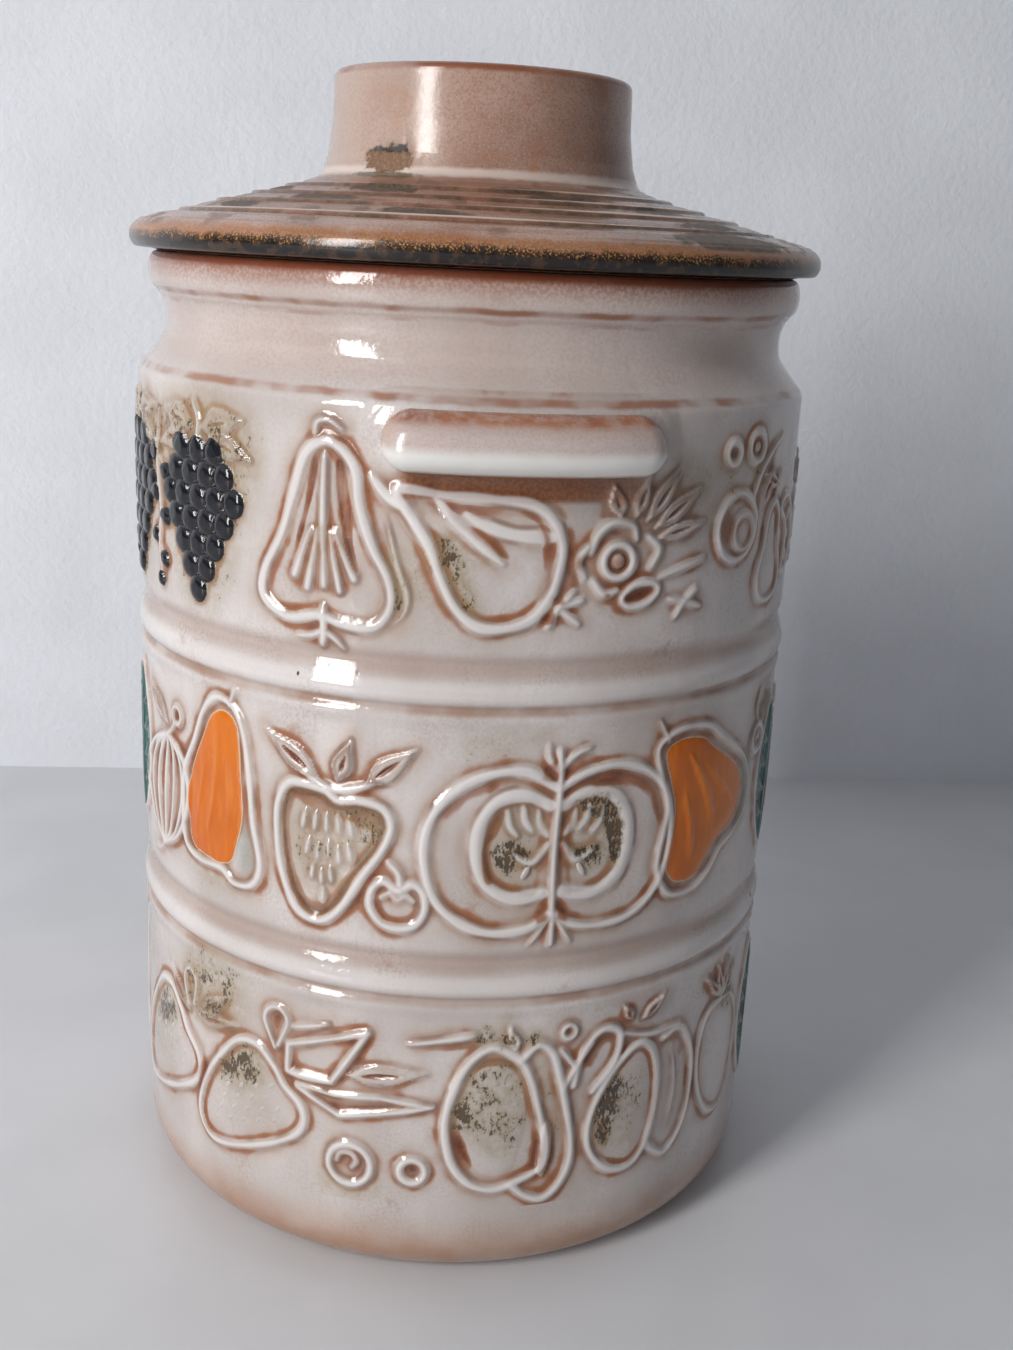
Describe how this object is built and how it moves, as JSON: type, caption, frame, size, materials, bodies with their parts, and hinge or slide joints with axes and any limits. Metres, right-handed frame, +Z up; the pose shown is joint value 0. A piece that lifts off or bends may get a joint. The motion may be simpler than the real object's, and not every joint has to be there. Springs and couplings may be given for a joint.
{
  "type": "rumtopf pot",
  "caption": "Tall round glazed stoneware fermenting jar with moulded lifting lugs, fruit relief bands and a lift-off lid with a broad hollow knob.",
  "frame": {"origin": "on the table, at the centre of the jar's foot", "axes": "+Z up along the jar's axis and the way the lid lifts; the two lifting lugs lie on +X and -X; -Y is the side with the grape bunches"},
  "size_m": [0.221, 0.2016, 0.3329],
  "materials": {
    "body_glaze": "glossy off-white glaze, rust brown where it runs thin over raised edges",
    "lid_glaze": "glossy pinkish brown speckled glaze with near-black patches and rim"
  },
  "bodies": {
    "jar": {"jar": "body_glaze"},
    "lid": {"lid": "lid_glaze"}
  },
  "joints": [
    {"name": "lid_lift", "type": "slide", "parent": "jar", "child": "lid", "axis": [0, 0, 1], "range_m": [0, 0.06]}
  ]
}
